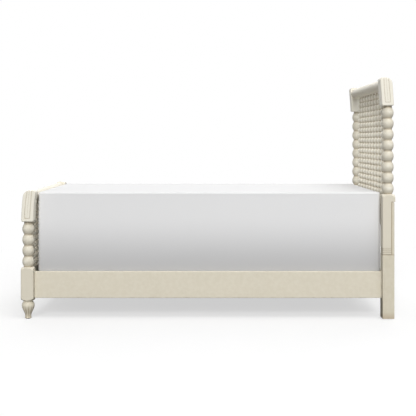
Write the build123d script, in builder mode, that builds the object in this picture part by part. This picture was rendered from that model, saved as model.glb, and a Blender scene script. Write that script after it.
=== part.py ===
from build123d import *
from collections import namedtuple
from math import cos, hypot, pi, radians, sin, sqrt
import os

# A single bed with turned bobbin posts, scroll caps and bobbin spindles, made up with a foundation,
# a mattress and a fitted cover. X runs along the bed with the headboard at +X, Y runs across it and
# Z is up from the floor. The origin is on the floor in the middle of the bed. Sizes are millimetres.
# The left side is the left hand of someone lying on the bed, which is -Y.

os.makedirs("parts", exist_ok=True)

# Mattress, foundation and cover
mattress_length = 1905.0
mattress_width = 990.0
mattress_thickness = 295.0
mattress_corner = 14.0  # radius of the upright corners
mattress_edge = 7.0  # radius of the top and bottom edges
foundation_thickness = 229.0
foundation_inset = 4.0  # how far its sides stand inside the mattress sides
foundation_edge = 12.0
cover_thickness = 2.7
cover_edge = 9.0
soft_gap = 0.3  # air between soft pieces and what is next to them
hem_tuck = 20.0  # how far the cover hangs down behind the side rails
head_gap = 1.5  # cover to headboard
foot_gap = 1.5  # cover to the leaning tops of the footboard caps
side_gap = 3.5  # cover to side rails

# Side rails, cleats and slats
rail_height = 147.0
rail_thickness = 25.0
rail_floor_gap = 114.0
rail_setback = 30.0  # outer face of the rails behind the outer face of the posts
rail_end_gap = 0.5
rail_edge_round = 3.0
cleat_height = 38.0
cleat_thickness = 22.0
cleat_end_inset = 114.0
cleat_screw_count = 4
slat_thickness = 19.0
slat_width = 89.0
slat_end_gap = 3.0
slat_margin = 172.5  # middle of the end slats from the ends of the mattress
slat_count = 5
slat_edge_round = 2.0

# Posts
block_width = 70.0  # along the bed
block_depth = 74.0  # across the bed
foot_block_round = 7.0
head_block_round = 4.0
head_block_bottom = 357.0
head_block_top = 691.0
foot_height = 100.0
foot_block_top = 287.0
bead_radius = 32.3
bead_neck = 22.5
bead_pitch = 60.2
bead_fillet = 5.0  # height of the straight neck between two beads
bead_fullness = 0.77  # share of a bead's swell that it reaches halfway to its widest place
head_bead_count = 8
foot_bead_count = 4
head_collar = 7.4  # neck between the last bead and the cap
foot_collar = 10.7
pommel_rise = 24.0  # height over which the lathe rounds off the corners of a block
pommel_start = 4.5  # how far the rounding starts outside the bead neck
pommel_bulge = 3.0
cap_tenon_radius = 15.0
cap_tenon_length = 40.0
moulding_depth = 2.2
moulding_height = 4.5
moulding_pitch = 10.5
moulding_count = 3
moulding_start = 10.0

# Scroll caps
head_cap_height = 157.0
head_cap_inner = 39.0  # from the post axis to the face over the mattress, at the bottom
head_cap_outer = 28.0
head_cap_lean = 11.6
head_cap_outer_lean = 10.5
head_cap_swell = 0.8
foot_cap_height = 174.5
foot_cap_inner = 35.0
foot_cap_outer = 32.5
foot_cap_lean = 14.0
foot_cap_outer_lean = 13.5
foot_cap_swell = 3.3
cap_depth = 74.0
cap_crown = 38.0  # radius of the rolled top on the outer side
cap_top_round = 14.0
cap_foot_round = 9.0
cap_face_round = 6.0
groove_width = 3.6
groove_depth = 2.4
groove_inset = 19.5
groove_rise = 20.0
groove_top_inset = 21.5
reed_width = 2.4
reed_depth = 1.2

# Cross rails
top_rail_radius = 31.0
top_rail_drop = 38.5  # axis of the round rail below the top of the cap
top_rail_setback = 1.5  # its face behind the face of the cap
top_rail_tenon_radius = 14.0
top_rail_tenon = 22.0
cross_rail_thickness = 28.0
head_lower_rail_top = 608.0
head_lower_rail_height = 100.0
foot_lower_rail_top = 272.0
foot_lower_rail_height = 140.0
stretcher_thickness = 22.0
stretcher_height = 90.0
stretcher_floor_gap = 150.0
cross_tenon_thickness = 14.0
cross_tenon_length = 25.0
cross_tenon_shoulder = 14.0
cross_rail_edge_round = 3.0

# Spindles
spindle_count = 9
spindle_pitch = 95.0
spindle_bead_radius = 17.0
spindle_neck = 7.5
spindle_bead_pitch = 33.0
spindle_fillet = 3.0
spindle_stub = 6.0  # plain neck at each end of the row of beads
spindle_tenon_radius = 6.5
spindle_tenon = 18.0
spindle_top_entry = 16.0

# Headboard legs
leg_width = 65.0
lap_thickness = 15.5
lap_top = 648.0
leg_edge_round = 3.0
lap_corner_round = 6.0
lap_groove = 2.0  # chamfer on both sides of the joint between a lap and its block
lap_top_gap = 1.5
block_chamfer = 3.0  # round the foot of the headboard blocks
leg_bolt_heights = (420.0, 600.0)
leg_bolt_radius = 4.0
leg_bolt_length = 46.0
leg_bolt_head_radius = 6.5
leg_bolt_head_height = 5.0
leg_bolt_sink = 5.5
insert_radius = 6.0
insert_length = 20.0

# Turned feet
foot_bulb = 35.0
foot_neck = 26.0
foot_waist = 16.6
foot_rim = 18.6
flute_count = 12
flute_radius = 4.2
flute_depth = 2.0
hanger_bolt_radius = 5.0
hanger_bolt_reach = 45.0

# Rail fixings
bracket_thickness = 3.0
bracket_length = 70.0
bracket_height = 80.0
bracket_lift = 42.0  # bottom of the bracket above the bottom of the rail
hook_height = 14.0
hook_lip = 7.0
hook_lip_width = 4.0
hook_rises = (8.0, 50.0)  # underside of each hook above the bottom of the bracket
plate_thickness = 3.0
plate_width = 20.0
plate_margin = 22.0  # plate beyond the bracket, above and below
plate_screw_margin = 9.0
slot_width = 4.0
pocket_width = 8.0
pocket_depth = 8.0
pocket_margin = 4.0

# Floor glides, screws and running room
glide_radius = 13.0
glide_thickness = 4.0
glide_stem_radius = 4.0
glide_stem_length = 12.0
screw_radius = 2.0
screw_head_radius = 4.0
plate_screw_length = 25.0
bracket_screw_length = 19.0
cleat_screw_length = 40.0
slat_screw_length = 35.0
fit = 0.15  # clearance round tenons, bolts and screws

# Lengths and places that follow from the sizes above
cover_skin = cover_thickness + soft_gap
cover_length = mattress_length + 2 * cover_skin
cover_width = mattress_width + 2 * cover_skin
clear_length = head_gap + cover_length + foot_gap + foot_cap_lean
clear_width = cover_width + 2 * side_gap
mattress_x = clear_length / 2 - head_gap - cover_length / 2
face_x = clear_length / 2
post_x = face_x + block_width / 2
rail_face_y = clear_width / 2
post_face_y = rail_face_y + rail_thickness + rail_setback
post_y = post_face_y - block_depth / 2
post_inner_y = post_face_y - block_depth
rail_bottom = rail_floor_gap
rail_top = rail_bottom + rail_height
rail_length = clear_length - 2 * rail_end_gap
cleat_length = rail_length - 2 * cleat_end_inset
slat_bottom = rail_bottom + cleat_height
slat_top = slat_bottom + slat_thickness
slat_length = clear_width - 2 * slat_end_gap
foundation_bottom = slat_top + soft_gap
foundation_top = foundation_bottom + foundation_thickness
mattress_bottom = foundation_top + soft_gap
mattress_top = mattress_bottom + mattress_thickness
lap_x = face_x + leg_width - lap_thickness
block_corner = hypot(block_width, block_depth) / 2 + 1
pommel_radius = bead_neck + pommel_start
spindle_places = [(n - (spindle_count - 1) / 2) * spindle_pitch for n in range(spindle_count)]
slat_pitch = (mattress_length - 2 * slat_margin) / (slat_count - 1)
slat_places = [(n - (slat_count - 1) / 2) * slat_pitch for n in range(slat_count)]
cleat_screw_places = [
    (n - (cleat_screw_count - 1) / 2) * slat_pitch for n in range(cleat_screw_count)
]
bracket_bottom = rail_bottom + bracket_lift
bracket_top = bracket_bottom + bracket_height
bracket_y = rail_face_y - bracket_thickness / 2
plate_bottom = bracket_bottom - plate_margin
plate_top = bracket_top + plate_margin
SIDES = {"left": -1, "right": 1}

# One end of the bed: which way is outward, and the sizes in which headboard and footboard differ
End = namedtuple(
    "End",
    "name out block_top beads cap_height cap_inner cap_outer lean outer_lean swell"
    " lower_top lower_height collar",
)
HEAD = End(
    "headboard", 1, head_block_top, head_bead_count, head_cap_height, head_cap_inner, head_cap_outer,
    head_cap_lean, head_cap_outer_lean, head_cap_swell, head_lower_rail_top, head_lower_rail_height, head_collar,
)
FOOT = End(
    "footboard", -1, foot_block_top, foot_bead_count, foot_cap_height, foot_cap_inner, foot_cap_outer,
    foot_cap_lean, foot_cap_outer_lean, foot_cap_swell, foot_lower_rail_top, foot_lower_rail_height, foot_collar,
)


def cap_bottom(end):
    """Height of the underside of a cap."""
    return end.block_top + end.beads * bead_pitch + end.collar


def top_rail_height(end):
    """Height of the axis of the round top rail."""
    return cap_bottom(end) + end.cap_height - top_rail_drop


def top_rail_offset(end):
    """How far the round rail's axis stands inward of the post axis."""
    share = 1 - top_rail_drop / end.cap_height
    return end.cap_inner + end.lean * share - top_rail_setback - top_rail_radius


def upright(x, y):
    """Plane through an upright axis: its own x is X, its own y is Z."""
    return Plane(origin=(x, y, 0), x_dir=(1, 0, 0), z_dir=(0, -1, 0))


def axis_up(x, y):
    """Upright axis of a turned piece."""
    return Axis((x, y, 0), (0, 0, 1))


def bead_row(radius, neck, pitch, fillet_height, bottom, count):
    """Half outline of a row of turned beads, drawn upward from the height of its bottom."""
    rise = fillet_height / 2
    shoulder = neck + (radius - neck) * bead_fullness
    for n in range(count):
        low = bottom + n * pitch
        middle = low + pitch / 2
        step = (pitch / 2 - rise) / 2
        Line((neck, low), (neck, low + rise))
        Spline(
            (neck, low + rise),
            (shoulder, middle - step),
            (radius, middle),
            (shoulder, middle + step),
            (neck, low + pitch - rise),
        )
        Line((neck, low + pitch - rise), (neck, low + pitch))


def pommel_profile(x, y, bottom, top, round_bottom):
    """Half outline of what a lathe leaves of a square block when it rounds its corners off."""
    start = (pommel_radius, top)
    middle = ((pommel_radius + block_corner) / 2 + pommel_bulge, top - pommel_rise / 2 + pommel_bulge)
    end = (block_corner, top - pommel_rise)
    with BuildSketch(upright(x, y)) as profile:
        with BuildLine():
            Line((0, top), start)
            ThreePointArc(start, middle, end)
            if round_bottom:
                Line(end, (block_corner, bottom + pommel_rise))
                ThreePointArc(
                    (block_corner, bottom + pommel_rise),
                    (middle[0], bottom + pommel_rise / 2 - pommel_bulge),
                    (pommel_radius, bottom),
                )
                Line((pommel_radius, bottom), (0, bottom))
            else:
                Polyline(end, (block_corner, bottom), (0, bottom))
            Line((0, bottom), (0, top))
        make_face()
    return profile.sketch


def beads_profile(x, y, end):
    """Half outline of the beads of a post, its collar and the tenon that enters the cap."""
    bottom = end.block_top
    beads_top = bottom + end.beads * bead_pitch
    collar_top = cap_bottom(end)
    tenon_top = collar_top + cap_tenon_length
    with BuildSketch(upright(x, y)) as profile:
        with BuildLine():
            bead_row(bead_radius, bead_neck, bead_pitch, bead_fillet, bottom, end.beads)
            Polyline(
                (bead_neck, beads_top),
                (bead_neck, collar_top),
                (cap_tenon_radius, collar_top),
                (cap_tenon_radius, tenon_top),
                (0, tenon_top),
                (0, bottom - pommel_rise),
                (bead_neck, bottom - pommel_rise),
                (bead_neck, bottom),
            )
        make_face()
    return profile.sketch


def tenon_mortise(x, across, bottom, top):
    """Cut the socket for a cross rail's tenon in the inner side of a post or leg."""
    depth = cross_tenon_length + fit
    middle_y = across * (post_inner_y + depth / 2)
    with Locations((x, middle_y, (bottom + top) / 2)):
        Box(cross_tenon_thickness + 2 * fit, depth, top - bottom + 2 * fit, mode=Mode.SUBTRACT)


def plate_places(out, across):
    """Heads of the two screws of a slotted plate, each plane facing out of the wood."""
    return [
        Plane(origin=(out * face_x, across * bracket_y, z), z_dir=(-out, 0, 0))
        for z in (plate_bottom + plate_screw_margin, plate_top - plate_screw_margin)
    ]


def bracket_places(out, across):
    """Heads of the three screws of a hook bracket, each plane facing the middle of the bed."""
    near = bracket_length * 0.25
    far = bracket_length * 0.75
    low = bracket_bottom + bracket_height * 0.2
    high = bracket_bottom + bracket_height * 0.8
    spots = ((near, low), (near, high), (far, (low + high) / 2))
    return [
        Plane(
            origin=(out * (face_x - rail_end_gap - along), across * (rail_face_y - bracket_thickness), z),
            z_dir=(0, -across, 0),
        )
        for along, z in spots
    ]


def cleat_places(across):
    """Heads of the screws that hold a cleat to its side rail."""
    return [
        Plane(
            origin=(x, across * (rail_face_y - cleat_thickness), rail_bottom + cleat_height / 2),
            z_dir=(0, -across, 0),
        )
        for x in cleat_screw_places
    ]


def slat_screw_places(x):
    """Heads of the two screws of one slat."""
    return [
        Plane(origin=(x, across * (rail_face_y - cleat_thickness / 2), slat_top), z_dir=(0, 0, 1))
        for across in SIDES.values()
    ]


def leg_bolt_places(across):
    """Centres of the bolt heads in the outer face of a lapped leg."""
    return [
        Plane(origin=(face_x + leg_width, across * post_y, z), z_dir=(1, 0, 0))
        for z in leg_bolt_heights
    ]


def drill(places, radius, depth, start=0.0):
    """Drill straight holes into the part, from a depth below each place."""
    for place in places:
        with Locations(place.offset(-start)):
            Cylinder(radius, depth, align=(Align.CENTER, Align.CENTER, Align.MAX), mode=Mode.SUBTRACT)


def plate_pocket(out, across):
    """Cut the recess for a slotted plate, the pocket behind it and the pilot holes."""
    centre_z = (plate_bottom + plate_top) / 2
    depth = plate_thickness + pocket_depth
    with Locations((out * (face_x + plate_thickness / 2), across * bracket_y, centre_z)):
        Box(
            plate_thickness,
            plate_width + 2 * fit,
            plate_top - plate_bottom + 2 * fit,
            mode=Mode.SUBTRACT,
        )
    with Locations((out * (face_x + depth / 2), across * bracket_y, centre_z)):
        Box(depth, pocket_width, bracket_height + 2 * pocket_margin, mode=Mode.SUBTRACT)
    drill(plate_places(out, across), screw_radius + fit, plate_screw_length + 1)


def screws(places, length):
    """Countersunk screws, one at each place."""
    for place in places:
        with Locations(place):
            Cylinder(screw_radius, length, align=(Align.CENTER, Align.CENTER, Align.MAX))
            Cone(
                screw_radius,
                screw_head_radius,
                screw_head_radius - screw_radius,
                align=(Align.CENTER, Align.CENTER, Align.MAX),
            )


def countersinks(places, depth):
    """Countersunk holes that clear the screws."""
    for place in places:
        with Locations(place):
            CounterSinkHole(
                screw_radius + fit, screw_head_radius + fit, depth=depth, counter_sink_angle=90
            )


# Headboard posts: block, beads, tenon, notch for the lapped leg
for side, across in SIDES.items():
    y = across * post_y
    with BuildPart() as post:
        with BuildSketch(Plane(origin=(post_x, y, head_block_bottom))):
            RectangleRounded(block_width, block_depth, head_block_round)
        extrude(amount=head_block_top - head_block_bottom)
        chamfer(post.faces().sort_by(Axis.Z)[0].edges(), block_chamfer)
        lathe = axis_up(post_x, y)
        revolve(
            pommel_profile(post_x, y, head_block_bottom, head_block_top, round_bottom=False),
            axis=lathe,
            mode=Mode.INTERSECT,
        )
        # Three turned-looking lines round the foot of the block
        for n in range(moulding_count):
            z = head_block_bottom + moulding_start + n * moulding_pitch
            with BuildSketch(Plane(origin=(post_x, y, z))):
                Rectangle(block_width + 2, block_depth + 2)
                RectangleRounded(
                    block_width - 2 * moulding_depth,
                    block_depth - 2 * moulding_depth,
                    head_block_round,
                    mode=Mode.SUBTRACT,
                )
            extrude(amount=moulding_height, mode=Mode.SUBTRACT)
        revolve(beads_profile(post_x, y, HEAD), axis=lathe)
        # Notch behind the block, as high as the lap of the leg
        notch_width = post_x + block_width / 2 + 1 - lap_x
        notch_height = lap_top - head_block_bottom + lap_top_gap
        with Locations((lap_x + notch_width / 2, y, head_block_bottom + notch_height / 2)):
            Box(notch_width, block_depth + 2, notch_height, mode=Mode.SUBTRACT)
        with BuildSketch(Plane(origin=(lap_x, y, head_block_bottom))):
            with Locations((0, block_depth / 2), (0, -block_depth / 2)):
                Rectangle(2 * lap_groove * sqrt(0.5), 2 * lap_groove * sqrt(0.5), rotation=45)
        extrude(amount=notch_height, mode=Mode.SUBTRACT)
        tenon_mortise(
            post_x,
            across,
            head_lower_rail_top - head_lower_rail_height + cross_tenon_shoulder,
            head_lower_rail_top - cross_tenon_shoulder,
        )
        drill(leg_bolt_places(across), insert_radius + fit, insert_length + fit, start=lap_thickness)
        drill(leg_bolt_places(across), leg_bolt_radius + fit, leg_bolt_sink + leg_bolt_length + 1)
    post.part.label = f"headboard_post_{side}"
    export_step(post.part, f"parts/headboard_post_{side}.step")

# Headboard legs: full below the block, a thin lap behind it
for side, across in SIDES.items():
    y = across * post_y
    leg_x = face_x + leg_width / 2
    with BuildPart() as leg:
        with BuildSketch(Plane(origin=(leg_x, y, glide_thickness))):
            Rectangle(leg_width, block_depth)
        extrude(amount=head_block_bottom - glide_thickness)
        with BuildSketch(Plane(origin=(lap_x + lap_thickness / 2, y, head_block_bottom))):
            Rectangle(lap_thickness, block_depth)
        extrude(amount=lap_top - head_block_bottom)
        with BuildSketch(Plane(origin=(lap_x, y, head_block_bottom))):
            with Locations((0, block_depth / 2), (0, -block_depth / 2)):
                Rectangle(2 * lap_groove * sqrt(0.5), 2 * lap_groove * sqrt(0.5), rotation=45)
        extrude(amount=lap_top - head_block_bottom, mode=Mode.SUBTRACT)
        outer_edges = leg.edges().filter_by(Axis.Z).group_by(Axis.X)[-1]
        fillet(outer_edges, leg_edge_round)
        inner_edges = leg.edges().filter_by(Axis.Z).group_by(Axis.X)[0]
        fillet(inner_edges, leg_edge_round)
        lap_edges = leg.edges().filter_by(Axis.X).group_by(Axis.Z)[-1]
        fillet(lap_edges, lap_corner_round)
        tenon_mortise(
            post_x,
            across,
            stretcher_floor_gap + cross_tenon_shoulder,
            stretcher_floor_gap + stretcher_height - cross_tenon_shoulder,
        )
        plate_pocket(1, across)
        drill(leg_bolt_places(across), leg_bolt_head_radius + fit, leg_bolt_sink)
        drill(leg_bolt_places(across), leg_bolt_radius + fit, lap_thickness + 1)
        with Locations((leg_x, y, glide_thickness)):
            Cylinder(
                glide_stem_radius + fit,
                glide_stem_length + fit,
                align=(Align.CENTER, Align.CENTER, Align.MIN),
                mode=Mode.SUBTRACT,
            )
    leg.part.label = f"headboard_leg_{side}"
    export_step(leg.part, f"parts/headboard_leg_{side}.step")

# Footboard posts: rounded block, beads and tenon
for side, across in SIDES.items():
    y = across * post_y
    with BuildPart() as post:
        with BuildSketch(Plane(origin=(-post_x, y, foot_height))):
            RectangleRounded(block_width, block_depth, foot_block_round)
        extrude(amount=foot_block_top - foot_height)
        lathe = axis_up(-post_x, y)
        revolve(
            pommel_profile(-post_x, y, foot_height, foot_block_top, round_bottom=True),
            axis=lathe,
            mode=Mode.INTERSECT,
        )
        revolve(beads_profile(-post_x, y, FOOT), axis=lathe)
        tenon_mortise(
            -post_x,
            across,
            foot_lower_rail_top - foot_lower_rail_height + cross_tenon_shoulder,
            foot_lower_rail_top - cross_tenon_shoulder,
        )
        plate_pocket(-1, across)
        with Locations((-post_x, y, foot_height)):
            Cylinder(
                hanger_bolt_radius + fit,
                hanger_bolt_reach + fit,
                align=(Align.CENTER, Align.CENTER, Align.MIN),
                mode=Mode.SUBTRACT,
            )
    post.part.label = f"footboard_post_{side}"
    export_step(post.part, f"parts/footboard_post_{side}.step")

# Turned feet with flutes down the lower half of the bulb
for side, across in SIDES.items():
    y = across * post_y
    bulb_height = foot_height * 0.74
    with BuildPart() as foot:
        with BuildSketch(upright(-post_x, y)):
            with BuildLine():
                Line((0, glide_thickness), (foot_rim, glide_thickness))
                Spline(
                    (foot_rim, glide_thickness),
                    (foot_waist, foot_height * 0.14),
                    (foot_bulb * 0.6, foot_height * 0.33),
                    (foot_bulb * 0.86, foot_height * 0.52),
                    (foot_bulb, bulb_height),
                    (foot_bulb * 0.9, foot_height * 0.88),
                    (foot_neck, foot_height * 0.95),
                )
                Polyline(
                    (foot_neck, foot_height * 0.95),
                    (foot_neck, foot_height),
                    (0, foot_height),
                    (0, glide_thickness),
                )
            make_face()
        revolve(axis=axis_up(-post_x, y))
        # Each flute follows an arc that hugs the lower half of the bulb
        for n in range(flute_count):
            turn = 360 / flute_count * (n + 0.5)
            radial = Plane(
                origin=(-post_x, y, 0),
                x_dir=(cos(radians(turn)), sin(radians(turn)), 0),
                z_dir=(sin(radians(turn)), -cos(radians(turn)), 0),
            )
            lift = flute_radius - flute_depth
            with BuildLine(radial) as run:
                path = ThreePointArc(
                    (foot_bulb + flute_radius * 1.2, bulb_height),
                    (foot_bulb * 0.8 + lift, foot_height * 0.46),
                    (foot_waist + lift, foot_height * 0.14),
                )
            with BuildSketch(Plane(origin=path @ 0, z_dir=path % 0)):
                Circle(flute_radius)
            sweep(path=run.wires()[0], mode=Mode.SUBTRACT)
        with Locations((-post_x, y, foot_height)):
            Cylinder(
                hanger_bolt_radius + fit,
                hanger_bolt_reach + fit,
                align=(Align.CENTER, Align.CENTER, Align.MAX),
                mode=Mode.SUBTRACT,
            )
        with Locations((-post_x, y, glide_thickness)):
            Cylinder(
                glide_stem_radius + fit,
                glide_stem_length + fit,
                align=(Align.CENTER, Align.CENTER, Align.MIN),
                mode=Mode.SUBTRACT,
            )
    foot.part.label = f"footboard_foot_{side}"
    export_step(foot.part, f"parts/footboard_foot_{side}.step")

# Scroll caps, leaning over the mattress, with a grooved field on the outer face
for end in (HEAD, FOOT):
    bottom = cap_bottom(end)
    height = end.cap_height
    inner_top = end.cap_inner + end.lean
    outer_top = end.cap_outer - end.outer_lean
    outer_middle = end.cap_outer - end.outer_lean / 2 + end.swell
    inner_middle = -end.cap_inner - end.lean / 2 + end.swell
    for side, across in SIDES.items():
        y = across * post_y
        cap_plane = Plane(origin=(end.out * post_x, y, bottom), x_dir=(end.out, 0, 0), z_dir=(0, -end.out, 0))
        with BuildPart() as cap:
            with BuildSketch(cap_plane) as profile:
                with BuildLine():
                    Line((-end.cap_inner, 0), (end.cap_outer, 0))
                    ThreePointArc((end.cap_outer, 0), (outer_middle, height / 2), (outer_top, height))
                    Line((outer_top, height), (-inner_top, height))
                    ThreePointArc((-inner_top, height), (inner_middle, height / 2), (-end.cap_inner, 0))
                make_face()
                fillet(profile.vertices().sort_by(Axis.Y)[:2], cap_foot_round)
                fillet(profile.vertices().sort_by(Axis.Y)[-2:].sort_by(Axis.X)[0], cap_top_round)
                fillet(profile.vertices().sort_by(Axis.Y)[-2:].sort_by(Axis.X)[-1], cap_crown)
            extrude(amount=cap_depth / 2, both=True)
            faces_across = cap.faces().filter_by(Axis.Y).sort_by(Axis.Y)
            outer_face = faces_across[0] if across < 0 else faces_across[-1]
            fillet(outer_face.edges(), cap_face_round)
            face_plane = cap_plane.offset(-end.out * across * cap_depth / 2)
            with BuildSketch(face_plane):
                with BuildLine():
                    ThreePointArc(
                        (-inner_top + groove_top_inset, height + 2),
                        (inner_middle + groove_inset, height / 2),
                        (-end.cap_inner + groove_inset, groove_rise),
                    )
                    Line(
                        (-end.cap_inner + groove_inset, groove_rise),
                        (end.cap_outer - groove_inset, groove_rise),
                    )
                    ThreePointArc(
                        (end.cap_outer - groove_inset, groove_rise),
                        (outer_middle - groove_inset, height / 2),
                        (outer_top - groove_top_inset, height + 2),
                    )
                trace(line_width=groove_width)
            extrude(amount=groove_depth, both=True, mode=Mode.SUBTRACT)
            with BuildSketch(face_plane):
                with BuildLine():
                    ThreePointArc(
                        ((end.cap_outer - end.cap_inner) / 2, groove_rise + groove_inset / 2),
                        ((outer_middle + inner_middle) / 2, height / 2),
                        ((outer_top - inner_top) / 2, height + 2),
                    )
                trace(line_width=reed_width)
            extrude(amount=reed_depth, both=True, mode=Mode.SUBTRACT)
            # Sockets for the post's tenon and for the round rail's tenon
            with Locations((end.out * post_x, y, bottom)):
                Cylinder(
                    cap_tenon_radius + fit,
                    cap_tenon_length + fit,
                    align=(Align.CENTER, Align.CENTER, Align.MIN),
                    mode=Mode.SUBTRACT,
                )
            rail_axis_x = end.out * (post_x - top_rail_offset(end))
            socket = Plane(
                origin=(rail_axis_x, across * post_inner_y, top_rail_height(end)), z_dir=(0, across, 0)
            )
            with Locations(socket):
                Cylinder(
                    top_rail_tenon_radius + fit,
                    top_rail_tenon + fit,
                    align=(Align.CENTER, Align.CENTER, Align.MIN),
                    mode=Mode.SUBTRACT,
                )
        cap.part.label = f"{end.name}_cap_{side}"
        export_step(cap.part, f"parts/{end.name}_cap_{side}.step")

# Round top rails with a tenon at each end and a row of sockets below for the spindles
for end in (HEAD, FOOT):
    rail_axis_x = end.out * (post_x - top_rail_offset(end))
    rail_axis_z = top_rail_height(end)
    entry = sqrt(top_rail_radius**2 - top_rail_offset(end) ** 2)
    with BuildPart() as top_rail:
        with BuildSketch(Plane(origin=(rail_axis_x, 0, rail_axis_z), z_dir=(0, 1, 0))):
            Circle(top_rail_radius)
        extrude(amount=post_inner_y, both=True)
        with BuildSketch(Plane(origin=(rail_axis_x, 0, rail_axis_z), z_dir=(0, 1, 0))):
            Circle(top_rail_tenon_radius)
        extrude(amount=post_inner_y + top_rail_tenon, both=True)
        for y in spindle_places:
            with Locations((end.out * post_x, y, rail_axis_z - entry + spindle_top_entry)):
                Cylinder(
                    spindle_neck + fit,
                    spindle_top_entry + top_rail_radius,
                    align=(Align.CENTER, Align.CENTER, Align.MAX),
                    mode=Mode.SUBTRACT,
                )
    top_rail.part.label = f"{end.name}_top_rail"
    export_step(top_rail.part, f"parts/{end.name}_top_rail.step")

# Lower rails that carry the spindles
for end in (HEAD, FOOT):
    middle_z = end.lower_top - end.lower_height / 2
    with BuildPart() as lower_rail:
        with Locations((end.out * post_x, 0, middle_z)):
            Box(cross_rail_thickness, 2 * post_inner_y, end.lower_height)
        fillet(lower_rail.edges().filter_by(Axis.Y), cross_rail_edge_round)
        with Locations((end.out * post_x, 0, middle_z)):
            Box(
                cross_tenon_thickness,
                2 * (post_inner_y + cross_tenon_length),
                end.lower_height - 2 * cross_tenon_shoulder,
            )
        for y in spindle_places:
            with Locations((end.out * post_x, y, end.lower_top)):
                Cylinder(
                    spindle_tenon_radius + fit,
                    spindle_tenon + fit,
                    align=(Align.CENTER, Align.CENTER, Align.MAX),
                    mode=Mode.SUBTRACT,
                )
    lower_rail.part.label = f"{end.name}_lower_rail"
    export_step(lower_rail.part, f"parts/{end.name}_lower_rail.step")

# Stretcher between the headboard legs
with BuildPart() as stretcher:
    stretcher_z = stretcher_floor_gap + stretcher_height / 2
    with Locations((post_x, 0, stretcher_z)):
        Box(stretcher_thickness, 2 * post_inner_y, stretcher_height)
    fillet(stretcher.edges().filter_by(Axis.Y), cross_rail_edge_round)
    with Locations((post_x, 0, stretcher_z)):
        Box(
            cross_tenon_thickness,
            2 * (post_inner_y + cross_tenon_length),
            stretcher_height - 2 * cross_tenon_shoulder,
        )
stretcher.part.label = "headboard_stretcher"
export_step(stretcher.part, "parts/headboard_stretcher.step")

# Bobbin spindles: as many beads as fit between the lower rail and the round rail
for end in (HEAD, FOOT):
    entry = sqrt(top_rail_radius**2 - top_rail_offset(end) ** 2)
    spindle_top = top_rail_height(end) - entry
    beads_bottom = end.lower_top + spindle_stub
    beads_height = spindle_top - spindle_stub - beads_bottom
    beads = round(beads_height / spindle_bead_pitch)
    for number, y in enumerate(spindle_places, start=1):
        with BuildPart() as spindle:
            with BuildSketch(upright(end.out * post_x, y)):
                with BuildLine():
                    bead_row(
                        spindle_bead_radius,
                        spindle_neck,
                        beads_height / beads,
                        spindle_fillet,
                        beads_bottom,
                        beads,
                    )
                    Polyline(
                        (spindle_neck, beads_bottom + beads_height),
                        (spindle_neck, spindle_top + spindle_top_entry),
                        (0, spindle_top + spindle_top_entry),
                        (0, end.lower_top - spindle_tenon),
                        (spindle_tenon_radius, end.lower_top - spindle_tenon),
                        (spindle_tenon_radius, end.lower_top),
                        (spindle_neck, end.lower_top),
                        (spindle_neck, beads_bottom),
                    )
                make_face()
            revolve(axis=axis_up(end.out * post_x, y))
        spindle.part.label = f"{end.name}_spindle_{number}"
        export_step(spindle.part, f"parts/{end.name}_spindle_{number}.step")

# Side rails
for side, across in SIDES.items():
    rail_y = across * (rail_face_y + rail_thickness / 2)
    with BuildPart() as side_rail:
        with Locations((0, rail_y, rail_bottom + rail_height / 2)):
            Box(rail_length, rail_thickness, rail_height)
        fillet(side_rail.edges().filter_by(Axis.X), rail_edge_round)
        for out in (1, -1):
            drill(bracket_places(out, across), screw_radius + fit, bracket_screw_length + 1)
        drill(cleat_places(across), screw_radius + fit, cleat_screw_length + 1)
    side_rail.part.label = f"side_rail_{side}"
    export_step(side_rail.part, f"parts/side_rail_{side}.step")

# Cleats along the foot of the side rails
for side, across in SIDES.items():
    cleat_y = across * (rail_face_y - cleat_thickness / 2)
    with BuildPart() as cleat:
        with Locations((0, cleat_y, rail_bottom + cleat_height / 2)):
            Box(cleat_length, cleat_thickness, cleat_height)
        countersinks(cleat_places(across), cleat_thickness + 1)
        for x in slat_places:
            drill(slat_screw_places(x), screw_radius + fit, slat_screw_length + 1)
    cleat.part.label = f"slat_cleat_{side}"
    export_step(cleat.part, f"parts/slat_cleat_{side}.step")

# Slats across the cleats
for number, x in enumerate(slat_places, start=1):
    with BuildPart() as slat:
        with Locations((x, 0, slat_bottom + slat_thickness / 2)):
            Box(slat_width, slat_length, slat_thickness)
        fillet(slat.edges().filter_by(Axis.Y), slat_edge_round)
        countersinks(slat_screw_places(x), slat_thickness + 1)
    slat.part.label = f"slat_{number}"
    export_step(slat.part, f"parts/slat_{number}.step")

# Hook brackets on the inner faces of the side rails, one near each end
with BuildPart() as rail_brackets:
    for across in SIDES.values():
        for out in (1, -1):
            start_x = face_x - rail_end_gap - bracket_length
            reach_x = face_x + plate_thickness + fit
            tip_x = reach_x + hook_lip_width
            blade = Plane(
                origin=(0, across * bracket_y, 0), x_dir=(out, 0, 0), z_dir=(0, -out, 0)
            )
            with BuildSketch(blade):
                with BuildLine():
                    Polyline(
                        (start_x, bracket_bottom),
                        (face_x - rail_end_gap, bracket_bottom),
                        (face_x - rail_end_gap, bracket_top),
                        (start_x, bracket_top),
                        close=True,
                    )
                make_face()
                for rise in hook_rises:
                    low = bracket_bottom + rise
                    with BuildLine():
                        Polyline(
                            (start_x + bracket_length / 2, low),
                            (reach_x, low),
                            (reach_x, low - hook_lip),
                            (tip_x, low - hook_lip),
                            (tip_x, low + hook_height),
                            (start_x + bracket_length / 2, low + hook_height),
                            close=True,
                        )
                    make_face()
            extrude(amount=bracket_thickness / 2, both=True)
            countersinks(bracket_places(out, across), bracket_thickness + 1)
rail_brackets.part.label = "rail_hook_brackets"
export_step(rail_brackets.part, "parts/rail_hook_brackets.step")

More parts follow.
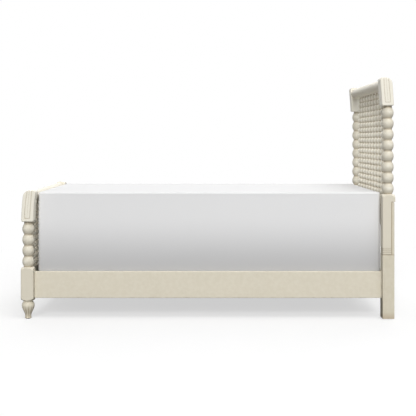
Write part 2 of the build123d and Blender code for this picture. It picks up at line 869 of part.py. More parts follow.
# Slotted plates let into the legs and the footboard blocks
with BuildPart() as post_plates:
    for across in SIDES.values():
        for out in (1, -1):
            centre = (
                out * (face_x + plate_thickness / 2),
                across * bracket_y,
                (plate_bottom + plate_top) / 2,
            )
            with Locations(centre):
                Box(plate_thickness, plate_width, plate_top - plate_bottom)
            for rise in hook_rises:
                slot_height = hook_height + hook_lip + 2
                slot_z = bracket_bottom + rise + slot_height / 2 - fit
                with Locations((out * (face_x + plate_thickness / 2), across * bracket_y, slot_z)):
                    Box(plate_thickness + 2, slot_width, slot_height, mode=Mode.SUBTRACT)
            countersinks(plate_places(out, across), plate_thickness + 1)
post_plates.part.label = "post_hook_plates"
export_step(post_plates.part, "parts/post_hook_plates.step")

# Bolts and threaded inserts of the lapped legs
with BuildPart() as leg_bolts:
    for across in SIDES.values():
        for place in leg_bolt_places(across):
            with Locations(place.offset(-leg_bolt_sink)):
                Cylinder(
                    leg_bolt_head_radius,
                    leg_bolt_head_height,
                    align=(Align.CENTER, Align.CENTER, Align.MIN),
                )
                Cylinder(
                    leg_bolt_radius,
                    leg_bolt_length,
                    align=(Align.CENTER, Align.CENTER, Align.MAX),
                )
leg_bolts.part.label = "leg_bolts"
export_step(leg_bolts.part, "parts/leg_bolts.step")

with BuildPart() as leg_inserts:
    for across in SIDES.values():
        for place in leg_bolt_places(across):
            with Locations(place.offset(-lap_thickness)):
                Cylinder(
                    insert_radius, insert_length, align=(Align.CENTER, Align.CENTER, Align.MAX)
                )
                Cylinder(
                    leg_bolt_radius + fit,
                    insert_length,
                    align=(Align.CENTER, Align.CENTER, Align.MAX),
                    mode=Mode.SUBTRACT,
                )
leg_inserts.part.label = "leg_inserts"
export_step(leg_inserts.part, "parts/leg_inserts.step")

# Hanger bolts that join the turned feet to their blocks
with BuildPart() as hanger_bolts:
    for across in SIDES.values():
        with Locations((-post_x, across * post_y, foot_height)):
            Cylinder(hanger_bolt_radius, 2 * hanger_bolt_reach)
hanger_bolts.part.label = "foot_hanger_bolts"
export_step(hanger_bolts.part, "parts/foot_hanger_bolts.step")

# Screws
with BuildPart() as plate_screws:
    for across in SIDES.values():
        for out in (1, -1):
            screws(plate_places(out, across), plate_screw_length)
plate_screws.part.label = "plate_screws"
export_step(plate_screws.part, "parts/plate_screws.step")

with BuildPart() as bracket_screws:
    for across in SIDES.values():
        for out in (1, -1):
            screws(bracket_places(out, across), bracket_screw_length)
bracket_screws.part.label = "bracket_screws"
export_step(bracket_screws.part, "parts/bracket_screws.step")

with BuildPart() as cleat_screws:
    for across in SIDES.values():
        screws(cleat_places(across), cleat_screw_length)
cleat_screws.part.label = "cleat_screws"
export_step(cleat_screws.part, "parts/cleat_screws.step")

with BuildPart() as slat_screws:
    for x in slat_places:
        screws(slat_screw_places(x), slat_screw_length)
slat_screws.part.label = "slat_screws"
export_step(slat_screws.part, "parts/slat_screws.step")

# Floor glides under the legs and the turned feet
with BuildPart() as glides:
    for across in SIDES.values():
        for x in (face_x + leg_width / 2, -post_x):
            with Locations((x, across * post_y, 0)):
                Cylinder(
                    glide_radius, glide_thickness, align=(Align.CENTER, Align.CENTER, Align.MIN)
                )
                Cylinder(
                    glide_stem_radius,
                    glide_thickness + glide_stem_length,
                    align=(Align.CENTER, Align.CENTER, Align.MIN),
                )
glides.part.label = "floor_glides"
export_step(glides.part, "parts/floor_glides.step")

# Foundation
with BuildPart() as foundation:
    with BuildSketch(Plane(origin=(mattress_x, 0, foundation_bottom))):
        RectangleRounded(
            mattress_length - 2 * foundation_inset,
            mattress_width - 2 * foundation_inset,
            mattress_corner + foundation_edge,
        )
    extrude(amount=foundation_thickness)
    rims = foundation.faces().filter_by(Axis.Z).edges()
    fillet(rims, foundation_edge)
foundation.part.label = "foundation"
export_step(foundation.part, "parts/foundation.step")

# Mattress
with BuildPart() as mattress:
    with BuildSketch(Plane(origin=(mattress_x, 0, mattress_bottom))):
        RectangleRounded(mattress_length, mattress_width, mattress_corner)
    extrude(amount=mattress_thickness)
    rims = mattress.faces().filter_by(Axis.Z).edges()
    fillet(rims, mattress_edge)
mattress.part.label = "mattress"
export_step(mattress.part, "parts/mattress.step")

# Fitted cover: one skin over the mattress, hanging round the foundation and tucked behind the rails
with BuildPart() as cover:
    hem = rail_top - hem_tuck
    with BuildSketch(Plane(origin=(mattress_x, 0, hem))):
        RectangleRounded(cover_length, cover_width, mattress_corner + cover_skin)
    extrude(amount=mattress_top + cover_skin - hem)
    fillet(cover.faces().sort_by(Axis.Z)[-1].edges(), cover_edge)
    with BuildSketch(Plane(origin=(mattress_x, 0, hem))):
        RectangleRounded(
            mattress_length + 2 * soft_gap, mattress_width + 2 * soft_gap, mattress_corner + soft_gap
        )
    extrude(amount=mattress_top + soft_gap - hem, mode=Mode.SUBTRACT)
cover.part.label = "mattress_cover"
export_step(cover.part, "parts/mattress_cover.step")
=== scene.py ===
"""Dress a painted panel bed: turned bead posts, scroll caps, bobbin spindles, slats and bedding."""

import logging
import math
from dataclasses import dataclass, field
from enum import Enum

import bmesh
import bpy
import numpy as np
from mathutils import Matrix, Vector


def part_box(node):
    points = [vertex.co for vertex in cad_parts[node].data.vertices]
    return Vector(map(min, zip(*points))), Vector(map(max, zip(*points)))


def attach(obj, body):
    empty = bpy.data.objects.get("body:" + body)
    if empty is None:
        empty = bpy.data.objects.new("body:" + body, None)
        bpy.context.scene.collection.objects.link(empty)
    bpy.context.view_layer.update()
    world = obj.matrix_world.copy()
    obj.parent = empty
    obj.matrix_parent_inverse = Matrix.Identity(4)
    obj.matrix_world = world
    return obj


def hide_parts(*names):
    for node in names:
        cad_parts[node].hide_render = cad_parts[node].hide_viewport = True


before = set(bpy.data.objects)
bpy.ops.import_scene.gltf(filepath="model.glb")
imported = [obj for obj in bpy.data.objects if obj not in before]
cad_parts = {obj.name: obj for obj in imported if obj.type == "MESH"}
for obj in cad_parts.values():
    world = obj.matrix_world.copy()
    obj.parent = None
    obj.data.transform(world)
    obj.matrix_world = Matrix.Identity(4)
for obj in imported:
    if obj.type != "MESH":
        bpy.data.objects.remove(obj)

LOG = logging.getLogger("panel_bed")

Colour = tuple[float, float, float]
Point = tuple[float, float, float]
# Where a smooth step starts and ends
Span = tuple[float, float]
# A plain amount, where there is one, and what each pattern adds to it
Shares = tuple[float, ...]

WHITE: Colour = (1.0, 1.0, 1.0)
# The part of a drawn line's half width that is at full strength
LINE_CORE = 0.3
# Points nearer than this are joined, in metres
WELD = 1e-6
# Stands in for a length of 0 in a division
TINY = 1e-9


class Way(Enum):
    """Which way the brush went and the grain runs: the noise stretch along each axis, per metre."""

    ALONG = (18.0, 420.0, 420.0)
    ACROSS = (420.0, 18.0, 420.0)
    UPRIGHT = (420.0, 420.0, 18.0)


class Crevice(Enum):
    """Where the darker glaze settles."""

    POST_BEADS = "post_beads"
    SPINDLE_BEADS = "spindle_beads"
    FLUTES = "flutes"
    CORNERS = "corners"


@dataclass(frozen=True)
class Grain:
    """How a noise looks: its lumps per metre, how many finer layers it has, and their strength."""

    scale: float
    detail: float = 2.0
    rough: float = 0.5


class Wire:
    """One shader socket; arithmetic on it adds Math nodes to its material."""

    def __init__(self, paint: "Paint", socket: bpy.types.NodeSocket) -> None:
        """Hold the socket and the material that it belongs to.

        Args:
            paint: the material being made.
            socket: an output socket of one of its nodes.
        """
        self.paint = paint
        self.socket = socket

    def apply(self, operation: str, *values: "Wire | float") -> "Wire":
        """Add one Math node.

        Args:
            operation: Blender's name for the operation.
            values: its inputs in order.

        Returns:
            The node's result.
        """
        return self.paint.node("ShaderNodeMath", {"operation": operation}, dict(enumerate(values)))

    def __add__(self, other: "Wire | float") -> "Wire":
        """self + other."""
        return self.apply("ADD", self, other)

    def __radd__(self, other: float) -> "Wire":
        """other + self."""
        return self.apply("ADD", other, self)

    def __sub__(self, other: "Wire | float") -> "Wire":
        """self - other."""
        return self.apply("SUBTRACT", self, other)

    def __rsub__(self, other: float) -> "Wire":
        """other - self."""
        return self.apply("SUBTRACT", other, self)

    def __mul__(self, other: "Wire | float") -> "Wire":
        """self * other."""
        return self.apply("MULTIPLY", self, other)

    def __rmul__(self, other: float) -> "Wire":
        """other * self."""
        return self.apply("MULTIPLY", other, self)

    def __truediv__(self, other: "Wire | float") -> "Wire":
        """self / other."""
        return self.apply("DIVIDE", self, other)

    def __rtruediv__(self, other: float) -> "Wire":
        """other / self."""
        return self.apply("DIVIDE", other, self)

    def __pow__(self, other: "Wire | float") -> "Wire":
        """self to the power of other."""
        return self.apply("POWER", self, other)

    def __rpow__(self, other: float) -> "Wire":
        """other to the power of self."""
        return self.apply("POWER", other, self)

    def __abs__(self) -> "Wire":
        """The size of self without its sign."""
        return self.apply("ABSOLUTE", self)

    def high(self, other: "Wire | float") -> "Wire":
        """The larger of self and other."""
        return self.apply("MAXIMUM", self, other)

    def sine(self) -> "Wire":
        """The sine of self, in radians."""
        return self.apply("SINE", self)

    def cosine(self) -> "Wire":
        """The cosine of self, in radians."""
        return self.apply("COSINE", self)


class Paint:
    """One material: its node tree, and the few node patterns that the finishes share."""

    output = "ShaderNodeOutputMaterial"

    def __init__(self, name: str) -> None:
        """Start with no nodes.

        Args:
            name: the name of what the nodes belong to.
        """
        self.owner = self.start(name)
        self.owner.use_nodes = True
        self.tree = self.owner.node_tree
        self.tree.nodes.clear()

    def start(self, name: str) -> bpy.types.ID:
        """Make what the nodes belong to."""
        return bpy.data.materials.new(name)

    def node(
        self,
        kind: str,
        settings: dict[str, object] | None = None,
        inputs: dict[object, object] | None = None,
        output: str | int = 0,
    ) -> Wire:
        """Add any node.

        Args:
            kind: Blender's type of node.
            settings: its own settings, which are set first.
            inputs: value or Wire of each socket, by name or number.
            output: which output to hand back.

        Returns:
            The chosen output.
        """
        made = self.tree.nodes.new(kind)
        for key, value in (settings or {}).items():
            setattr(made, key, value)
        for key, value in (inputs or {}).items():
            socket = made.inputs[key]
            if isinstance(value, Wire):
                self.tree.links.new(value.socket, socket)
            elif socket.type == "RGBA" and len(value) == 3:
                socket.default_value = (*value, 1.0)
            else:
                socket.default_value = value
        return Wire(self, made.outputs[output])

    def place(self) -> Wire:
        """The point being painted, in metres in the bed's own frame."""
        return self.node("ShaderNodeTexCoord", output="Object")

    def split(self, vector: Wire) -> tuple[Wire, Wire, Wire]:
        """Split a point.

        Args:
            vector: the point.

        Returns:
            Its x, y and z.
        """
        first = self.node("ShaderNodeSeparateXYZ", inputs={0: vector})
        parts = first.socket.node.outputs
        return tuple(Wire(self, parts[n]) for n in range(3))

    def stretch(self, vector: Wire, by: Point) -> Wire:
        """Scale a point by a different number along each axis."""
        return self.node("ShaderNodeVectorMath", {"operation": "MULTIPLY"}, {0: vector, 1: by})

    def noise(self, vector: Wire, grain: Grain) -> Wire:
        """Smooth noise from 0 to 1.

        Args:
            vector: the point it is read at.
            grain: how it looks.

        Returns:
            The noise value.
        """
        inputs = {"Vector": vector, "Scale": grain.scale, "Detail": grain.detail}
        inputs["Roughness"] = grain.rough
        return self.node("ShaderNodeTexNoise", {"noise_dimensions": "3D"}, inputs)

    def cells(self, vector: Wire, scale: float) -> Wire:
        """Distance to the nearest of scattered points, in cells."""
        return self.node("ShaderNodeTexVoronoi", {}, {"Vector": vector, "Scale": scale}, "Distance")

    def rise(self, value: Wire, start: float, end: float) -> Wire:
        """A smooth step.

        Args:
            value: what is measured.
            start: where the step is 0.
            end: where it is 1, above or below the start.

        Returns:
            The step, from 0 to 1.
        """
        settings = {"interpolation_type": "SMOOTHSTEP", "clamp": True}
        inputs = {"Value": value, "From Min": start, "From Max": end}
        return self.node("ShaderNodeMapRange", settings, inputs)

    def line(self, value: Wire, at: float, width: float) -> Wire:
        """A narrow line of 1 where value is near a number, fading to 0 over its width."""
        return self.rise(abs(value - at), width, width * LINE_CORE)

    def mix(self, mask: Wire | float, first: Wire | Colour, second: Wire | Colour) -> Wire:
        """Mix two colours: the first where the mask is 0, the second where it is 1."""
        inputs = {0: mask, 6: first, 7: second}
        return self.node("ShaderNodeMix", {"data_type": "RGBA"}, inputs, output=2)

    def shade(self, colour: Wire | Colour, by: Wire) -> Wire:
        """Darken or lighten a colour by a factor."""
        grey = self.node("ShaderNodeCombineXYZ", inputs={0: by, 1: by, 2: by})
        return self.node("ShaderNodeVectorMath", {"operation": "MULTIPLY"}, {0: colour, 1: grey})

    def bump(self, height: Wire, depth: float, strength: float = 1.0) -> Wire:
        """A normal from a height.

        Args:
            height: from 0 to 1.
            depth: what 1 stands for, in metres.
            strength: how much of it shows.

        Returns:
            The normal.
        """
        inputs = {"Height": height, "Distance": depth, "Strength": strength}
        return self.node("ShaderNodeBump", {}, inputs)

    def surface(self, **sockets: object) -> bpy.types.Material:
        """Finish with one shader.

        Args:
            sockets: the shader's sockets, with underscores for the spaces in their names.

        Returns:
            The finished material.
        """
        inputs = {name.replace("_", " "): value for name, value in sockets.items()}
        shader = self.node("ShaderNodeBsdfPrincipled", {}, inputs)
        return self.close(shader)

    def close(self, shader: Wire) -> bpy.types.ID:
        """Lead a shader to the output.

        Args:
            shader: the last shader.

        Returns:
            What the nodes belong to.
        """
        out = self.tree.nodes.new(self.output)
        self.tree.links.new(shader.socket, out.inputs["Surface"])
        return self.owner


class SkyPaint(Paint):
    """The nodes of the surroundings."""

    output = "ShaderNodeOutputWorld"

    def start(self, name: str) -> bpy.types.ID:
        """Make what the nodes belong to."""
        return bpy.data.worlds.new(name)


@dataclass(frozen=True)
class Finish:
    """What a surface is made of; each kind of finish makes its own material."""

    name: str

    def make(self) -> bpy.types.Material:
        """Make the material."""
        raise NotImplementedError


@dataclass(frozen=True)
class Turning:
    """Turned beads: the radius at a neck and at a belly, and where the glaze lies between them."""

    neck: float
    belly: float
    hollow_share: float = 0.42
    proud_share: float = 0.22
    past_belly: Span = (1.06, 1.01)

    def masks(self, paint: Paint, radius: Wire) -> tuple[Wire, Wire]:
        """Find the necks and the bellies.

        Args:
            paint: the material being made.
            radius: distance from the piece's axis.

        Returns:
            Masks of the necks and of the bellies.
        """
        swell = self.belly - self.neck
        deep = paint.rise(radius, self.neck + swell * self.hollow_share, self.neck)
        proud = paint.rise(radius, self.belly - swell * self.proud_share, self.belly)
        start, end = (self.belly * share for share in self.past_belly)
        return deep, proud * paint.rise(radius, start, end)


@dataclass(frozen=True)
class Fluting:
    """The flutes of a turned foot: how many, and how high the glaze and the rubbing reach."""

    count: float = 12.0
    groove: Span = (-0.15, -0.85)
    groove_top: Span = (0.072, 0.050)
    ridge: Span = (0.4, 1.0)
    ridge_top: Span = (0.085, 0.060)

    def masks(self, paint: Paint, turn: Wire, z: Wire) -> tuple[Wire, Wire]:
        """Find the grooves and the ridges between them.

        Args:
            paint: the material being made.
            turn: angle round the foot's axis.
            z: height above the floor.

        Returns:
            Masks of the grooves and of the ridges.
        """
        wave = (turn * self.count).cosine()
        groove = paint.rise(wave, *self.groove) * paint.rise(z, *self.groove_top)
        return groove, paint.rise(wave, *self.ridge) * paint.rise(z, *self.ridge_top)


@dataclass(frozen=True)
class LapJoint:
    """The painted-over line where a head leg laps its post block, in metres."""

    x: float = 1.0135
    foot: float = 0.357
    head: float = 0.649
    upright_width: float = 0.0034
    level_width: float = 0.0030
    above_foot: Span = (0.356, 0.358)
    below_head: Span = (0.648, 0.646)
    at_head_end: Span = (0.90, 0.95)
    past_joint: Span = (1.0125, 1.0135)
    strength: float = 0.80

    def seam(self, paint: Paint, x: Wire, z: Wire) -> Wire:
        """Mark the joint.

        Args:
            paint: the material being made.
            x: place along the bed.
            z: height above the floor.

        Returns:
            Its strength on the joint, fading to 0 beside it.
        """
        upright = paint.line(x, self.x, self.upright_width) * paint.rise(z, *self.above_foot)
        seam = upright * paint.rise(z, *self.below_head)
        lower = paint.line(z, self.foot, self.level_width) * paint.rise(x, *self.at_head_end)
        upper = paint.line(z, self.head, self.level_width) * paint.rise(x, *self.past_joint)
        return seam.high(lower).high(upper) * self.strength


@dataclass(frozen=True)
class PaintedWood(Finish):
    """Cream paint brushed over wood, with darker glaze in the hollows and paint worn off the edges;
    the lighter worn colour is partly wear and partly painted highlight, and the glaze between
    spindles is partly painted shade.
    """

    way: Way = Way.UPRIGHT
    crevice: Crevice = Crevice.CORNERS
    colour: Colour = (0.675, 0.625, 0.507)
    # Lighter worn colour: partly worn-through paint, partly painted highlight
    rubbed_and_highlight: Colour = (0.845, 0.812, 0.712)
    glaze: Colour = (0.385, 0.310, 0.200)
    scuffed: Colour = (0.430, 0.330, 0.215)
    glaze_strength: float = 0.60
    scuff_height: float = 0.050
    lapped: bool = False
    lap: LapJoint = LapJoint()
    post_axis: Span = (0.999, 0.5195)
    post: Turning = Turning(0.0225, 0.0323)
    spindle_pitch: float = 0.095
    spindle: Turning = Turning(0.0075, 0.0170)
    # Glaze on the sides between spindles, partly painted shade
    side_glaze_and_shade: float = 0.55
    side_glaze_and_shade_span: Span = (0.74, 0.90)
    least_radius: float = 0.001
    fluting: Fluting = Fluting()
    corner_reach: float = 0.007
    corner_rays: int = 6
    shut: Span = (0.86, 0.45)
    # Faces with nothing near them get some of the lighter worn colour, partly as painted light
    open_face: Span = (0.97, 1.0)
    open_rub_and_light: float = 0.25
    streaks: Grain = Grain(1.0, 3.0, 0.6)
    clouds: Grain = Grain(5.5, 3.0, 0.55)
    mottles: Grain = Grain(46.0, 3.0, 0.6)
    speck_scale: float = 260.0
    tone: Shares = (0.955, 0.05, 0.045)
    rub_and_highlight_patch: Span = (0.30, 0.75)
    rub_and_highlight_strength: float = 0.75
    wash_cloud: Span = (0.45, 0.80)
    wash_streak: Span = (0.50, 0.85)
    wash_strength: float = 0.14
    glaze_held: Shares = (0.55, 0.9)
    dot_size: Span = (0.10, 0.05)
    dot_patch: Span = (0.52, 0.70)
    dot_strength: float = 0.30
    scuff_held: Shares = (0.35, 0.9)
    scuff_strength: float = 0.75
    roughness: Shares = (0.40, 0.10, 0.08, 0.15)
    relief: Shares = (0.6, 0.4)
    brush_depth: float = 0.00022
    brush_strength: float = 0.8
    bending: float = 1.47
    shine: float = 0.42

    def hollows(self, paint: Paint, point: Wire) -> tuple[Wire, Wire]:
        """Find the hollows and the proud parts of the piece; on spindles the hollows take in
        painted shade on the sides between them.

        Args:
            paint: the material being made.
            point: the point being painted.

        Returns:
            Masks of the hollows and of the proud parts.
        """
        x, y, z = paint.split(point)
        settings = {"samples": self.corner_rays, "only_local": True}
        reach = {"Distance": self.corner_reach}
        corner = paint.node("ShaderNodeAmbientOcclusion", settings, reach, "AO")
        shut = paint.rise(corner, *self.shut)
        if self.crevice is Crevice.CORNERS:
            # Open faces get some of the lighter worn colour: partly wear, partly painted light
            return shut, paint.rise(corner, *self.open_face) * self.open_rub_and_light
        off = abs(x) - self.post_axis[0]
        if self.crevice is Crevice.SPINDLE_BEADS:
            # The fold brings every spindle to the same place
            half = self.spindle_pitch / 2
            from_axis = y.apply("WRAP", y, half, -half)
        else:
            from_axis = abs(y) - self.post_axis[1]
        if self.crevice is Crevice.FLUTES:
            turn = from_axis.apply("ARCTAN2", from_axis, off)
            groove, ridge = self.fluting.masks(paint, turn, z)
            return groove.high(shut), ridge
        radius = (off * off + from_axis * from_axis) ** 0.5
        if self.crevice is Crevice.POST_BEADS:
            deep, proud = self.post.masks(paint, radius)
            return deep.high(shut), proud
        deep, proud = self.spindle.masks(paint, radius)
        # The rag wiped the front and back of the panel; glaze left on the sides where spindles face
        # each other is partly painted shade between them.
        side = paint.rise(abs(from_axis) / radius.high(self.least_radius), *self.side_glaze_and_shade_span)
        return deep.high(side * self.side_glaze_and_shade).high(shut), proud * (1.0 - side)

    def make(self) -> bpy.types.Material:
        """Make the material.

        Returns:
            The finished material.
        """
        paint = Paint(self.name)
        point = paint.place()
        x, _, z = paint.split(point)
        streak = paint.noise(paint.stretch(point, self.way.value), self.streaks)
        cloud = paint.noise(point, self.clouds)
        mottle = paint.noise(point, self.mottles)
        speck = paint.cells(point, self.speck_scale)
        deep, proud = self.hollows(paint, point)
        plain, by_streak, by_cloud = self.tone
        colour = paint.shade(self.colour, plain + streak * by_streak + cloud * by_cloud)
        # Proud parts and open faces take the lighter worn colour: partly wear, partly painted
        # highlight
        rub = proud * paint.rise(mottle, *self.rub_and_highlight_patch) * self.rub_and_highlight_strength
        colour = paint.mix(rub, colour, self.rubbed_and_highlight)
        wash = paint.rise(cloud, *self.wash_cloud) * paint.rise(streak, *self.wash_streak)
        colour = paint.mix(wash * self.wash_strength, colour, self.glaze)
        plain, by_mottle = self.glaze_held
        held = deep * (plain + mottle * by_mottle) * self.glaze_strength
        colour = paint.mix(held, colour, self.glaze)
        if self.lapped:
            colour = paint.mix(self.lap.seam(paint, x, z), colour, self.glaze)
        dots = paint.rise(speck, *self.dot_size) * paint.rise(mottle, *self.dot_patch)
        colour = paint.mix(dots * self.dot_strength, colour, self.glaze)
        plain, by_mottle = self.scuff_held
        scuff = paint.rise(z, self.scuff_height, 0.0) * (plain + mottle * by_mottle)
        colour = paint.mix(scuff * self.scuff_strength, colour, self.scuffed)
        plain, by_cloud, by_streak, by_hollow = self.roughness
        rough = plain + cloud * by_cloud + streak * by_streak + deep * by_hollow
        by_streak, by_mottle = self.relief
        height = streak * by_streak + mottle * by_mottle
        return paint.surface(
            Base_Color=colour,
            Roughness=rough,
            Normal=paint.bump(height, self.brush_depth, self.brush_strength),
            IOR=self.bending,
            Specular_IOR_Level=self.shine,
        )


CROSS_RAIL = PaintedWood("painted_cross_rail", Way.ACROSS)


@dataclass(frozen=True)
class PlanedPine(Finish):
    """Bare softwood with year lines, a few knots and saw marks."""

    way: Way
    early: Colour = (0.700, 0.535, 0.340)
    late: Colour = (0.520, 0.335, 0.165)
    knot: Colour = (0.270, 0.145, 0.070)
    with_grain: float = 0.9
    cross_grain: float = 14.0
    depth_grain: float = 22.0
    bends: Grain = Grain(1.3)
    fibres: Grain = Grain(1.6, 3.0, 0.65)
    ring_scale: float = 1.7
    ring_waver: float = 6.0
    ring_detail: Span = (2.0, 1.4)
    late_wood: Span = (0.45, 0.95)
    late_held: Shares = (0.45, 0.5)
    tone: Shares = (0.90, 0.20)
    knot_share: float = 0.35
    knot_depth: float = 5.0
    knot_size: Span = (0.16, 0.08)
    knot_strength: float = 0.8
    relief: Shares = (0.7, 0.3)
    relief_depth: float = 0.0003
    relief_strength: float = 0.9
    roughness: Shares = (0.62, 0.16)

    def make(self) -> bpy.types.Material:
        """Make the material.

        Returns:
            The finished material.
        """
        paint = Paint(self.name)
        point = paint.place()
        along, across, axis = self.with_grain, self.cross_grain, "X"
        if self.way is Way.ACROSS:
            along, across, axis = self.cross_grain, self.with_grain, "Y"
        grain = paint.stretch(point, (along, across, self.depth_grain))
        bend = paint.noise(grain, self.bends)
        detail, detail_scale = self.ring_detail
        rings = paint.node(
            "ShaderNodeTexWave",
            {"wave_type": "RINGS", "rings_direction": axis},
            {
                "Vector": grain,
                "Scale": self.ring_scale,
                "Distortion": self.ring_waver,
                "Detail": detail,
                "Detail Scale": detail_scale,
            },
        )
        fibre = paint.noise(paint.stretch(point, self.way.value), self.fibres)
        spread = (along * self.knot_share, across * self.knot_share, self.knot_depth)
        knots = paint.cells(paint.stretch(point, spread), 1.0)
        plain, by_bend = self.late_held
        late = paint.rise(rings, *self.late_wood) * (plain + bend * by_bend)
        colour = paint.mix(late, self.early, self.late)
        plain, by_fibre = self.tone
        colour = paint.shade(colour, plain + fibre * by_fibre)
        spot = paint.rise(knots, *self.knot_size) * self.knot_strength
        colour = paint.mix(spot, colour, self.knot)
        by_fibre, by_late = self.relief
        height = fibre * by_fibre + late * by_late
        plain, by_fibre = self.roughness
        return paint.surface(
            Base_Color=colour,
            Roughness=plain + fibre * by_fibre,
            Normal=paint.bump(height, self.relief_depth, self.relief_strength),
        )


@dataclass(frozen=True)
class Plated(Finish):
    """Plated or plain metal with fine rub marks and dull patches."""

    colour: Colour
    dull: Colour
    smooth: float = 0.30
    patches: Grain = Grain(60.0, 4.0, 0.6)
    rubs: Grain = Grain(1.0)
    rub_stretch: Point = (900.0, 900.0, 90.0)
    grain_scale: float = 700.0
    dull_patch: Span = (0.40, 0.72)
    tone: Shares = (0.92, 0.12)
    rougher: Shares = (0.22, 0.08)
    relief: Shares = (0.5, 0.5)
    relief_depth: float = 0.00008
    relief_strength: float = 0.7

    def make(self) -> bpy.types.Material:
        """Make the material.

        Returns:
            The finished material.
        """
        paint = Paint(self.name)
        point = paint.place()
        patch = paint.noise(point, self.patches)
        rub = paint.noise(paint.stretch(point, self.rub_stretch), self.rubs)
        grain = paint.cells(point, self.grain_scale)
        colour = paint.mix(paint.rise(patch, *self.dull_patch), self.colour, self.dull)
        plain, by_rub = self.tone
        colour = paint.shade(colour, plain + rub * by_rub)
        by_patch, by_rub = self.rougher
        rough = self.smooth + patch * by_patch + rub * by_rub
        by_rub, by_grain = self.relief
        height = rub * by_rub + grain * by_grain
        return paint.surface(
            Base_Color=colour,
            Metallic=1.0,
            Roughness=rough,
            Normal=paint.bump(height, self.relief_depth, self.relief_strength),
        )


@dataclass(frozen=True)
class Nylon(Finish):
    """Moulded nylon with a fine grain and scuffs where it slides on the floor."""

    colour: Colour = (0.055, 0.052, 0.050)
    scuff: Colour = (0.160, 0.152, 0.145)
    grains: Grain = Grain(1500.0)
    grain_depth: float = 0.00006
    patches: Grain = Grain(120.0, 3.0)
    worn_height: Span = (0.0030, 0.0002)
    worn_patch: Span = (0.35, 0.65)
    roughness: Shares = (0.55, 0.18)

    def make(self) -> bpy.types.Material:
        """Make the material.

        Returns:
            The finished material.
        """
        paint = Paint(self.name)
        point = paint.place()
        z = paint.split(point)[2]
        patch = paint.noise(point, self.patches)
        worn = paint.rise(z, *self.worn_height) * paint.rise(patch, *self.worn_patch)
        plain, by_patch = self.roughness
        return paint.surface(
            Base_Color=paint.mix(worn, self.colour, self.scuff),
            Roughness=plain + patch * by_patch,
            Normal=paint.bump(paint.noise(point, self.grains), self.grain_depth),
        )


@dataclass(frozen=True)
class PlainCloth(Finish):
    """A plain weave whose threads run along the three axes, with seams where the panels meet, and
    painted shade that darkens it toward the bottom from its top colour to its low colour.
    """

    # The top colour and the darker low colour, between which painted shade darkens the cloth
    # downward
    top: Colour
    low: Colour
    thread: float = 0.0011
    painted_shade_heights: Span = (0.250, 0.690)
    hem: float | None = None
    seam_top: float | None = None
    slub: float = 0.05
    fluff: float = 0.25
    thread_height: float = 0.17
    softness: Grain = Grain(3.2)
    creases: Grain = Grain(1.0, 3.0)
    crease_stretch: Point = (5.0, 5.0, 11.0)
    slubs: Grain = Grain(1.0, 3.0, 0.6)
    slub_stretch: Point = (60.0, 60.0, 700.0)
    tone: Shares = (0.985, 0.03)
    relief: Shares = (0.12, 0.06, 0.5, 0.35)
    relief_depth: float = 0.0032
    relief_strength: float = 0.55
    seam_width: float = 0.0016
    seam_shade: float = 0.07
    seam_depth: float = 0.16
    roughness: Shares = (0.86, 0.10)
    fluff_roughness: float = 0.5
    shine: float = 0.20

    def weave(self, paint: Paint, point: Wire) -> Wire:
        """Height of the threads.

        Args:
            paint: the material being made.
            point: the point being painted.

        Returns:
            The height, from 0 to 1.
        """
        turns = 2 * math.pi / self.thread
        x, y, z = ((axis * turns).sine() for axis in paint.split(point))
        return (x * y + y * z + z * x) * self.thread_height + 0.5

    def make(self) -> bpy.types.Material:
        """Make the material.

        Returns:
            The finished material.
        """
        paint = Paint(self.name)
        point = paint.place()
        z = paint.split(point)[2]
        weave = self.weave(paint, point)
        soft = paint.noise(point, self.softness)
        crease = paint.noise(paint.stretch(point, self.crease_stretch), self.creases)
        slub = paint.noise(paint.stretch(point, self.slub_stretch), self.slubs)
        # Painted shade: darker toward the bottom
        colour = paint.mix(paint.rise(z, *self.painted_shade_heights), self.low, self.top)
        brightest, by_weave = self.tone
        tone = (brightest - self.slub / 2) + slub * self.slub + weave * by_weave
        colour = paint.shade(colour, tone)
        by_weave, by_slub, by_soft, by_crease = self.relief
        height = weave * by_weave + slub * by_slub + soft * by_soft + crease * by_crease
        for at in (self.hem, self.seam_top):
            if at is not None:
                seam = paint.line(z, at, self.seam_width)
                colour = paint.shade(colour, 1.0 - seam * self.seam_shade)
                height = height - seam * self.seam_depth
        plain, by_slub = self.roughness
        return paint.surface(
            Base_Color=colour,
            Roughness=plain + slub * by_slub,
            Normal=paint.bump(height, self.relief_depth, self.relief_strength),
            Sheen_Weight=self.fluff,
            Sheen_Roughness=self.fluff_roughness,
            Specular_IOR_Level=self.shine,
        )


@dataclass(frozen=True)
class QuiltedTicking(Finish):
    """Knitted ticking quilted in diamonds."""

    colour: Colour = (0.790, 0.780, 0.745)
    stitch: Colour = (0.610, 0.600, 0.575)
    diamond: float = 0.11
    knit_scale: float = 900.0
    clouds: Grain = Grain(9.0, 3.0)
    seam: Span = (0.16, 0.02)
    seam_strength: float = 0.6
    tone: Shares = (0.95, 0.07)
    relief: Shares = (0.85, 0.03)
    relief_depth: float = 0.007
    relief_strength: float = 0.8
    rough: float = 0.88
    fluff: float = 0.3
    shine: float = 0.2

    def make(self) -> bpy.types.Material:
        """Make the material.

        Returns:
            The finished material.
        """
        paint = Paint(self.name)
        point = paint.place()
        x, y, _ = paint.split(point)
        turns = math.pi / self.diamond
        rising, falling = (abs((way * turns).sine()) for way in (x + y, x - y))
        puff = (rising * falling) ** 0.5
        seam = paint.rise(puff, *self.seam) * self.seam_strength
        colour = paint.mix(seam, self.colour, self.stitch)
        plain, by_cloud = self.tone
        colour = paint.shade(colour, plain + paint.noise(point, self.clouds) * by_cloud)
        by_puff, by_knit = self.relief
        height = puff * by_puff + paint.cells(point, self.knit_scale) * by_knit
        return paint.surface(
            Base_Color=colour,
            Roughness=self.rough,
            Normal=paint.bump(height, self.relief_depth, self.relief_strength),
            Sheen_Weight=self.fluff,
            Specular_IOR_Level=self.shine,
        )


